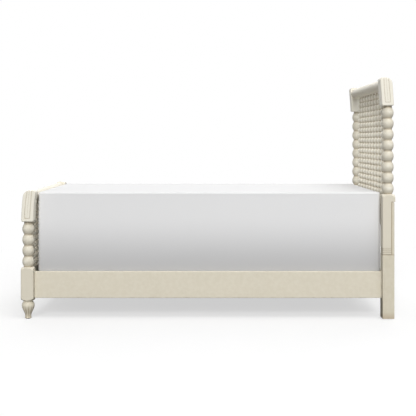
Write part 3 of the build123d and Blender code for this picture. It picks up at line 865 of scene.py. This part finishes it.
@dataclass(frozen=True)
class DustCloth(Finish):
    """Thin spun cloth, pressed in a pattern of small dots, under the foundation."""

    colour: Colour = (0.115, 0.115, 0.120)
    dot: Colour = (0.070, 0.070, 0.074)
    dot_pitch: float = 0.0024
    dot_size: Span = (0.25, 0.8)
    fibres: Grain = Grain(340.0, 4.0, 0.7)
    sags: Grain = Grain(4.0)
    tone: Shares = (0.8, 0.4)
    relief: Shares = (0.1, 0.9)
    relief_depth: float = 0.004
    relief_strength: float = 0.7
    rough: float = 0.92

    def make(self) -> bpy.types.Material:
        """Make the material.

        Returns:
            The finished material.
        """
        paint = Paint(self.name)
        point = paint.place()
        x, y, _ = paint.split(point)
        turns = 2 * math.pi / self.dot_pitch
        press = (x * turns).sine() * (y * turns).sine()
        colour = paint.mix(paint.rise(press, *self.dot_size), self.colour, self.dot)
        plain, by_fibre = self.tone
        colour = paint.shade(colour, plain + paint.noise(point, self.fibres) * by_fibre)
        by_press, by_sag = self.relief
        height = press * by_press + paint.noise(point, self.sags) * by_sag
        return paint.surface(
            Base_Color=colour,
            Roughness=self.rough,
            Normal=paint.bump(height, self.relief_depth, self.relief_strength),
        )


@dataclass(frozen=True)
class CordWelt(Finish):
    """Cloth wound tightly round a cord, as in a sewn edge."""

    colour: Colour
    pitch: float = 0.0014
    steepness: float = 0.8
    clouds: Grain = Grain(30.0, 3.0)
    tone: Shares = (0.90, 0.07, 0.06)
    twill_depth: float = 0.00025
    twill_strength: float = 0.7
    rough: float = 0.85
    fluff: float = 0.25

    def make(self) -> bpy.types.Material:
        """Make the material.

        Returns:
            The finished material.
        """
        paint = Paint(self.name)
        point = paint.place()
        x, y, z = paint.split(point)
        slant = (x + y + z * self.steepness) * (2 * math.pi / self.pitch)
        twill = slant.sine() * 0.5 + 0.5
        cloud = paint.noise(point, self.clouds)
        plain, by_twill, by_cloud = self.tone
        return paint.surface(
            Base_Color=paint.shade(self.colour, plain + twill * by_twill + cloud * by_cloud),
            Roughness=self.rough,
            Normal=paint.bump(twill, self.twill_depth, self.twill_strength),
            Sheen_Weight=self.fluff,
        )


@dataclass(frozen=True)
class StudioFloor(Finish):
    """White floor: white to the camera with the bed's shadow on it, and clear from below."""

    name: str = "studio_floor"
    colour: Colour = (0.36, 0.36, 0.36)
    bounce: Colour = (0.24, 0.24, 0.24)
    lift: float = 0.60
    near: Span = (1.7, 3.2)

    def make(self) -> bpy.types.Material:
        """Make the material.

        Returns:
            The finished material.
        """
        paint = Paint(self.name)
        x, y, _ = paint.split(paint.place())
        far = paint.rise((x * x + y * y) ** 0.5, *self.near)
        seen = paint.node("ShaderNodeLightPath", output="Is Camera Ray")
        matt = paint.node("ShaderNodeBsdfDiffuse", {}, {"Color": self.colour})
        glow = paint.node("ShaderNodeEmission", {}, {"Color": WHITE, "Strength": self.lift})
        plain = paint.node("ShaderNodeEmission", {}, {"Color": WHITE, "Strength": 1.0})
        close = paint.node("ShaderNodeAddShader", {}, {0: matt, 1: glow})
        view = paint.node("ShaderNodeMixShader", {}, {0: far, 1: close, 2: plain})
        soft = paint.node("ShaderNodeBsdfDiffuse", {}, {"Color": self.bounce})
        top = paint.node("ShaderNodeMixShader", {}, {0: seen, 1: soft, 2: view})
        below = paint.node("ShaderNodeNewGeometry", output="Backfacing")
        clear = paint.node("ShaderNodeBsdfTransparent")
        return paint.close(paint.node("ShaderNodeMixShader", {}, {0: below, 1: top, 2: clear}))


def drawn_in(low: Point, high: Point, by: float) -> tuple[Point, Point]:
    """Bring the four sides of a box in, and leave its height.

    Args:
        low: the box's lowest corner.
        high: its highest corner.
        by: how far each side comes in.

    Returns:
        The smaller box's corners.
    """
    return (low[0] + by, low[1] + by, low[2]), (high[0] - by, high[1] - by, high[2])


def new_mesh(name: str, vertices: np.ndarray, faces: list[tuple[int, ...]]) -> bpy.types.Object:
    """Make a smooth mesh object at the origin.

    Args:
        name: the piece's name.
        vertices: rows of x, y and z in metres.
        faces: vertex numbers of each face.

    Returns:
        The new object, in the scene.
    """
    mesh = bpy.data.meshes.new(name)
    mesh.from_pydata([tuple(v) for v in vertices.tolist()], [], faces)
    mesh.validate()
    shaped = bmesh.new()
    shaped.from_mesh(mesh)
    bmesh.ops.remove_doubles(shaped, verts=shaped.verts, dist=WELD)
    bmesh.ops.recalc_face_normals(shaped, faces=shaped.faces)
    shaped.to_mesh(mesh)
    shaped.free()
    mesh.shade_smooth()
    made = bpy.data.objects.new(name, mesh)
    bpy.context.scene.collection.objects.link(made)
    return made


@dataclass(frozen=True)
class BlockForm:
    """A soft block: upright corners of one radius, top and bottom edges of another."""

    low: Point
    high: Point
    corner: float
    edge: float
    step: float = 0.035
    fewest: int = 3
    bend_steps: int = 8

    def cuts(self, half: float) -> np.ndarray:
        """Divide one axis, closely where the block turns a corner.

        Args:
            half: half of the block along the axis.

        Returns:
            The positions, from its centre.
        """
        turn = max(self.corner, self.edge)
        straight = half - turn
        flat = np.linspace(-straight, straight, max(self.fewest, int(2 * straight / self.step)))
        bend = half - turn * (1 - np.linspace(0, 1, self.bend_steps + 1)[1:])
        return np.concatenate([-bend[::-1], flat, bend])

    def rounded(self, points: np.ndarray, half: np.ndarray) -> np.ndarray:
        """Bring points of the sharp block onto the rounded one.

        Args:
            points: rows of points on the sharp block, from its centre.
            half: half of its size along each axis.

        Returns:
            The moved points.
        """
        reach = half - self.edge
        spare = self.corner - self.edge
        core = np.clip(points[:, :2], -(reach[:2] - spare), reach[:2] - spare)
        out = points[:, :2] - core
        far = np.linalg.norm(out, axis=1, keepdims=True)
        flat = core + out * np.minimum(1.0, spare / np.maximum(far, TINY))
        up = np.clip(points[:, 2:], -reach[2], reach[2])
        seat = np.hstack([flat, up])
        away = points - seat
        size = np.maximum(np.linalg.norm(away, axis=1, keepdims=True), TINY)
        return seat + self.edge * away / size

    def shell(self, open_bottom: bool = False) -> tuple[np.ndarray, list[tuple[int, ...]]]:
        """Make the block's skin.

        Args:
            open_bottom: leave the underside out and bring the sides straight down to it.

        Returns:
            Its points and its faces.
        """
        low, high = np.array(self.low), np.array(self.high)
        middle, half = (low + high) / 2, (high - low) / 2
        cuts = [self.cuts(h) for h in half]
        points: list[np.ndarray] = []
        faces: list[tuple[int, ...]] = []
        count = 0
        for axis in range(3):
            first, second = [a for a in range(3) if a != axis]
            for side in (-1, 1):
                if open_bottom and axis == 2 and side < 0:
                    continue
                u, v = np.meshgrid(cuts[first], cuts[second], indexing="ij")
                grid = np.zeros((u.size, 3))
                grid[:, first], grid[:, second] = u.ravel(), v.ravel()
                grid[:, axis] = side * half[axis]
                points.append(grid)
                rows, across = u.shape
                for i in range(rows - 1):
                    for j in range(across - 1):
                        a = count + i * across + j
                        faces.append((a, a + 1, a + across + 1, a + across))
                count += u.size
        every = np.vstack(points)
        moved = self.rounded(every, half)
        if open_bottom:
            # Below the middle the sides keep their outline down to the hem
            side = every[:, 2] < 0
            straight = every.copy()
            straight[:, 2] = 0.0
            moved[side, :2] = self.rounded(straight, half)[side, :2]
            moved[side, 2] = every[side, 2]
        return moved + middle, faces


@dataclass(frozen=True)
class WeltRing:
    """A round cord sewn along the edge of a block."""

    low: Point
    high: Point
    corner: float
    height: float
    radius: float
    inset: float
    corner_steps: int = 8
    run: float = 0.05
    sides: int = 10

    def path(self) -> np.ndarray:
        """Follow the middle of the cord once round.

        Returns:
            Rows of points.
        """
        x0, y0 = self.low[0] + self.inset, self.low[1] + self.inset
        x1, y1 = self.high[0] - self.inset, self.high[1] - self.inset
        r = self.corner
        rows = []
        for cx, cy, start in (
            (x1 - r, y1 - r, 0.0),
            (x0 + r, y1 - r, 90.0),
            (x0 + r, y0 + r, 180.0),
            (x1 - r, y0 + r, 270.0),
        ):
            for step in range(self.corner_steps + 1):
                turn = math.radians(start + step * 90.0 / self.corner_steps)
                rows.append((cx + r * math.cos(turn), cy + r * math.sin(turn), self.height))
        corners = np.array(rows)
        fine = []
        for a, b in zip(corners, np.roll(corners, -1, axis=0)):
            parts = max(1, int(np.linalg.norm(b - a) / self.run))
            fine.extend(a + (b - a) * k / parts for k in range(parts))
        return np.array(fine)

    def make(self, name: str) -> bpy.types.Object:
        """Make the cord as a closed tube.

        Args:
            name: the piece's name.

        Returns:
            The new object.
        """
        line = self.path()
        ahead = np.roll(line, -1, axis=0) - np.roll(line, 1, axis=0)
        ahead /= np.linalg.norm(ahead, axis=1, keepdims=True)
        out = np.stack([ahead[:, 1], -ahead[:, 0], np.zeros(len(line))], axis=1)
        up = np.array([0.0, 0.0, 1.0])
        sides = self.sides
        ring = []
        for k in range(sides):
            turn = 2 * math.pi * k / sides
            ring.append(line + self.radius * (math.cos(turn) * out + math.sin(turn) * up))
        points = np.stack(ring, axis=1).reshape(-1, 3)
        faces = []
        for i in range(len(line)):
            j = (i + 1) % len(line)
            for k in range(sides):
                m = (k + 1) % sides
                faces.append((i * sides + k, j * sides + k, j * sides + m, i * sides + m))
        return new_mesh(name, points, faces)


@dataclass
class Finishes:
    """Every finish of the bed, each made once."""

    made: dict[str, bpy.types.Material] = field(default_factory=dict)

    def get(self, finish: Finish) -> bpy.types.Material:
        """Look up a finish's material, and make it on its first use.

        Args:
            finish: the finish.

        Returns:
            Its material.
        """
        if finish.name not in self.made:
            self.made[finish.name] = finish.make()
            LOG.info("finish %s made", finish.name)
        return self.made[finish.name]

    def dress(self, piece: bpy.types.Object, finish: Finish) -> None:
        """Give a piece one finish all over, in place of what it had."""
        piece.data.materials.clear()
        piece.data.materials.append(self.get(finish))


@dataclass
class Assembly:
    """One part of the bed, dressed with the shared finishes."""

    finishes: Finishes

    def dress_nodes(self, nodes: list[str], finish: Finish) -> None:
        """Give CAD pieces a finish.

        Args:
            nodes: their names.
            finish: what they get.
        """
        for name in nodes:
            self.finishes.dress(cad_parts[name], finish)
            LOG.info("%s dressed as %s", name, finish.name)


@dataclass
class EndPanel(Assembly):
    """Headboard or footboard: posts, caps, round rail, spindles and lower rail."""

    name: str
    spindles: int = 9

    def build(self) -> None:
        """Dress every piece of the panel."""
        sides = ("left", "right")
        posts = PaintedWood(
            "painted_post",
            Way.UPRIGHT,
            Crevice.POST_BEADS,
            (0.680, 0.634, 0.524),
            glaze_strength=0.50,
            lapped=True,
        )
        # The spindles' paint is lighter than the posts' to make up for the shade between the posts,
        # as painted light; their brighter worn colour is partly painted highlight
        spindles = PaintedWood(
            "painted_spindle",
            Way.UPRIGHT,
            Crevice.SPINDLE_BEADS,
            (0.890, 0.850, 0.735),
            rubbed_and_highlight=(0.950, 0.925, 0.845),
            glaze_strength=0.66,
        )
        # The caps' paint is lighter and less yellow than the rest of the cream: partly a worn
        # finish, partly painted highlight
        cap = PaintedWood("painted_cap", colour=(0.825, 0.790, 0.685))
        self.dress_nodes([f"{self.name}_post_{side}" for side in sides], posts)
        self.dress_nodes([f"{self.name}_cap_{side}" for side in sides], cap)
        self.dress_nodes([f"{self.name}_top_rail", f"{self.name}_lower_rail"], CROSS_RAIL)
        numbers = range(1, self.spindles + 1)
        self.dress_nodes([f"{self.name}_spindle_{n}" for n in numbers], spindles)


@dataclass
class HeadLegs(Assembly):
    """The lapped legs of the headboard and the stretcher between them."""

    def build(self) -> None:
        """Dress the legs and the stretcher."""
        leg = PaintedWood("painted_leg", colour=(0.620, 0.570, 0.450), lapped=True)
        self.dress_nodes(["headboard_leg_left", "headboard_leg_right"], leg)
        self.dress_nodes(["headboard_stretcher"], CROSS_RAIL)


@dataclass
class TurnedFeet(Assembly):
    """The fluted feet of the footboard."""

    def build(self) -> None:
        """Dress the feet, with more glaze in the flutes."""
        foot = PaintedWood(
            "painted_foot",
            Way.UPRIGHT,
            Crevice.FLUTES,
            colour=(0.700, 0.648, 0.520),
            glaze_strength=0.80,
            scuff_height=0.012,
        )
        self.dress_nodes(["footboard_foot_left", "footboard_foot_right"], foot)


@dataclass
class RailsAndSlats(Assembly):
    """Side rails, their cleats and the slats on them."""

    slats: int = 5

    def build(self) -> None:
        """Dress rails, cleats and slats."""
        rail = PaintedWood("painted_side_rail", Way.ALONG)
        self.dress_nodes(["side_rail_left", "side_rail_right"], rail)
        cleat = PlanedPine("pine_cleat", Way.ALONG)
        self.dress_nodes(["slat_cleat_left", "slat_cleat_right"], cleat)
        slat = PlanedPine("pine_slat", Way.ACROSS)
        self.dress_nodes([f"slat_{n}" for n in range(1, self.slats + 1)], slat)


@dataclass
class Ironmongery(Assembly):
    """Hooks, plates, bolts, inserts, screws and glides."""

    def build(self) -> None:
        """Dress the metal and nylon pieces."""
        zinc = Plated("zinc_plate", (0.640, 0.655, 0.680), (0.420, 0.430, 0.450), 0.32)
        yellow = Plated("yellow_zinc", (0.700, 0.600, 0.380), (0.460, 0.385, 0.230), 0.30)
        brass = Plated("plain_brass", (0.780, 0.610, 0.300), (0.520, 0.390, 0.190), 0.34)
        steel = ["rail_hook_brackets", "post_hook_plates", "leg_bolts", "foot_hanger_bolts"]
        self.dress_nodes(steel, zinc)
        screws = ["plate_screws", "bracket_screws", "cleat_screws", "slat_screws"]
        self.dress_nodes(screws, yellow)
        self.dress_nodes(["leg_inserts"], brass)
        self.dress_nodes(["floor_glides"], Nylon("glide_nylon"))


@dataclass
class Foundation(Assembly):
    """A box foundation: cloth sides and top, welts at the edges, dust cloth below."""

    node: str = "foundation"
    corner: float = 0.026
    edge: float = 0.012
    inset: float = 0.0022
    welt: float = 0.0032
    welt_corner_in: float = 0.004
    top_welt: float = 0.55
    bottom_welt: float = 0.75
    underside: float = 0.001

    def build(self) -> None:
        """Make the box and its welts."""
        low, high = (tuple(c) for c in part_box(self.node))
        form = BlockForm(*drawn_in(low, high, self.inset), self.corner, self.edge)
        box = new_mesh("foundation_box", *form.shell())
        # The foundation's cloth darkens a little toward the bottom as painted shade
        cloth = PlainCloth(
            "foundation_cloth", (0.70, 0.69, 0.66), (0.66, 0.65, 0.62), 0.0016, slub=0.10
        )
        self.finishes.dress(box, cloth)
        box.data.materials.append(self.finishes.get(DustCloth("dust_cloth")))
        limit = low[2] + self.underside
        for face in box.data.polygons:
            if face.center.z < limit:
                face.material_index = 1
        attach(box, "foundation")
        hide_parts(self.node)
        LOG.info("foundation box made with %d faces", len(box.data.polygons))
        for name, height in (
            ("foundation_welt_top", high[2] - self.edge * self.top_welt),
            ("foundation_welt_bottom", low[2] + self.edge * self.bottom_welt),
        ):
            corner = self.corner - self.welt_corner_in
            ring = WeltRing(low, high, corner, height, self.welt, self.welt)
            cord = ring.make(name)
            self.finishes.dress(cord, CordWelt("foundation_welt", (0.64, 0.63, 0.60)))
            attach(cord, "foundation")
            LOG.info("%s made", name)


@dataclass
class Mattress(Assembly):
    """The mattress inside the cover: quilted panels and two tape edges."""

    node: str = "mattress"
    corner: float = 0.014
    edge: float = 0.007
    inset: float = 0.0012
    tape: float = 0.0028
    tape_corner_in: float = 0.003
    tape_from_edge: float = 1.2

    def build(self) -> None:
        """Make the mattress and its tape edges."""
        low, high = (tuple(c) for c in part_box(self.node))
        form = BlockForm(*drawn_in(low, high, self.inset), self.corner, self.edge)
        body = new_mesh("mattress_body", *form.shell())
        self.finishes.dress(body, QuiltedTicking("quilted_ticking"))
        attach(body, "mattress")
        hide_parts(self.node)
        LOG.info("mattress made with %d faces", len(body.data.polygons))
        for name, height in (
            ("mattress_tape_top", high[2] - self.edge * self.tape_from_edge),
            ("mattress_tape_bottom", low[2] + self.edge * self.tape_from_edge),
        ):
            corner = self.corner - self.tape_corner_in
            ring = WeltRing(low, high, corner, height, self.tape, self.tape)
            cord = ring.make(name)
            self.finishes.dress(cord, CordWelt("mattress_tape", (0.60, 0.60, 0.61), 0.0020))
            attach(cord, "mattress")
            LOG.info("%s made", name)


@dataclass
class FittedCover(Assembly):
    """A boxed cover sewn to the mattress's shape, hanging straight to a hem behind the rails."""

    node: str = "mattress_cover"
    corner: float = 0.017
    edge: float = 0.009
    cloth: float = 0.0016
    step: float = 0.030
    hem_height: float = 0.018
    seam_drop: float = 0.013

    def build(self) -> None:
        """Make the cover as one skin with a real thickness."""
        low, high = (tuple(c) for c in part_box(self.node))
        form = BlockForm(low, high, self.corner, self.edge, self.step)
        cover = new_mesh("fitted_cover", *form.shell(open_bottom=True))
        thick = cover.modifiers.new("cloth", "SOLIDIFY")
        thick.thickness = self.cloth
        thick.offset = -1.0
        bpy.context.view_layer.objects.active = cover
        with bpy.context.temp_override(object=cover, active_object=cover):
            bpy.ops.object.modifier_apply(modifier=thick.name)
        # The cover's cloth darkens toward the hem as painted shade
        cloth = PlainCloth(
            "cover_cloth",
            (0.760, 0.760, 0.763),
            (0.470, 0.470, 0.474),
            painted_shade_heights=(0.22, 0.58),
            hem=low[2] + self.hem_height,
            seam_top=high[2] - self.seam_drop,
        )
        self.finishes.dress(cover, cloth)
        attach(cover, "mattress")
        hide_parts(self.node)
        length, width, drop = (high[n] - low[n] for n in range(3))
        flat = (width + 2 * drop, length + 2 * drop)
        area = flat[0] * flat[1] - 4 * drop * drop
        LOG.info("fitted cover made with %d faces", len(cover.data.polygons))


@dataclass(frozen=True)
class SoftBox:
    """A flat lamp that the camera doesn't see."""

    name: str
    place: Point
    aim: Point
    size: tuple[float, float]
    power: float

    def hang(self, scene: bpy.types.Scene) -> None:
        """Hang the lamp in its place, turned to what it lights.

        Args:
            scene: where it hangs.
        """
        light = bpy.data.lights.new(self.name, "AREA")
        light.shape = "RECTANGLE"
        light.size, light.size_y = self.size
        light.energy = self.power
        lamp = bpy.data.objects.new(self.name, light)
        lamp.location = self.place
        away = Vector(self.place) - Vector(self.aim)
        lamp.rotation_euler = away.to_track_quat("Z", "Y").to_euler()
        lamp.visible_camera = False
        scene.collection.objects.link(lamp)


@dataclass(frozen=True)
class FarLamp:
    """A lamp so far away that its light is even over the whole bed.

    Its rise is above level, its turn is from the camera's side round toward the head, and its
    spread is how wide it looks, all in degrees.
    """

    name: str
    rise: float
    turn: float
    strength: float
    spread: float

    def hang(self, scene: bpy.types.Scene) -> None:
        """Point the lamp down at the bed.

        Args:
            scene: where it hangs.
        """
        light = bpy.data.lights.new(self.name, "SUN")
        light.energy = self.strength
        light.angle = math.radians(self.spread)
        lamp = bpy.data.objects.new(self.name, light)
        lamp.rotation_euler = (math.radians(90 - self.rise), 0.0, math.radians(self.turn))
        scene.collection.objects.link(lamp)


LAMPS = (
    FarLamp("overhead", rise=67.0, turn=36.0, strength=1.04, spread=32.0),
    FarLamp("key", rise=30.0, turn=-9.0, strength=1.38, spread=12.0),
    FarLamp("low_fill", rise=20.0, turn=13.0, strength=0.60, spread=16.0),
    FarLamp("back_fill", rise=36.0, turn=180.0, strength=1.50, spread=70.0),
    SoftBox("side_box", place=(1.2, -2.6, 3.0), aim=(0.4, -0.5, 0.8), size=(3.0, 0.8), power=18.0),
)


@dataclass
class Studio:
    """Camera, floor, lamps and surroundings."""

    camera_back: float = -5.5845
    camera_height: float = 0.992
    lens: float = 78.87
    sensor: float = 36.0
    sight: float = 200.0
    shift_up: float = -0.164
    floor_size: float = 60.0
    sky: float = 0.20

    def build(self, finishes: Finishes) -> None:
        """Make the studio.

        Args:
            finishes: where the floor's material is kept.
        """
        scene = bpy.context.scene
        scene.view_settings.view_transform = "Standard"
        self.camera(scene)
        self.floor(finishes)
        self.lamps(scene)
        self.surroundings(scene)

    def camera(self, scene: bpy.types.Scene) -> None:
        """Stand the camera level at the bed's left side.

        Args:
            scene: where it stands.
        """
        lens = bpy.data.cameras.new("camera")
        lens.lens = self.lens
        lens.sensor_width = self.sensor
        lens.shift_y = self.shift_up
        lens.clip_end = self.sight
        stand = bpy.data.objects.new("camera", lens)
        stand.location = (0.0, self.camera_back, self.camera_height)
        stand.rotation_euler = (math.radians(90), 0.0, 0.0)
        scene.collection.objects.link(stand)
        scene.camera = stand

    def floor(self, finishes: Finishes) -> None:
        """Lay a large plain floor.

        Args:
            finishes: where its material is kept.
        """
        half = self.floor_size / 2
        turns = ((-1, -1), (1, -1), (1, 1), (-1, 1))
        corners = np.array([(x * half, y * half, 0.0) for x, y in turns])
        floor = new_mesh("floor", corners, [(0, 1, 2, 3)])
        finishes.dress(floor, StudioFloor())

    def lamps(self, scene: bpy.types.Scene) -> None:
        """Hang every lamp."""
        for lamp in LAMPS:
            lamp.hang(scene)

    def surroundings(self, scene: bpy.types.Scene) -> None:
        """Light evenly from all round, and show white to the camera, in gloss and through glass.

        Args:
            scene: what is surrounded.
        """
        sky = SkyPaint("surroundings")
        plain = sky.node("ShaderNodeLightPath", output="Is Camera Ray")
        for kind in ("Is Glossy Ray", "Is Transmission Ray"):
            plain = plain.high(sky.node("ShaderNodeLightPath", output=kind))
        dim = sky.node("ShaderNodeBackground", {}, {"Color": WHITE, "Strength": self.sky})
        bright = sky.node("ShaderNodeBackground", {}, {"Color": WHITE, "Strength": 1.0})
        mixed = sky.node("ShaderNodeMixShader", {}, {0: plain, 1: dim, 2: bright})
        scene.world = sky.close(mixed)


def main() -> None:
    """Build the studio and every part of the bed."""
    logging.basicConfig(level=logging.INFO, format="%(name)s: %(message)s")
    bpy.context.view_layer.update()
    finishes = Finishes()
    Studio().build(finishes)
    EndPanel(finishes, "headboard").build()
    EndPanel(finishes, "footboard").build()
    HeadLegs(finishes).build()
    TurnedFeet(finishes).build()
    RailsAndSlats(finishes).build()
    Ironmongery(finishes).build()
    Foundation(finishes).build()
    Mattress(finishes).build()
    FittedCover(finishes).build()


if __name__ == "__main__":
    main()
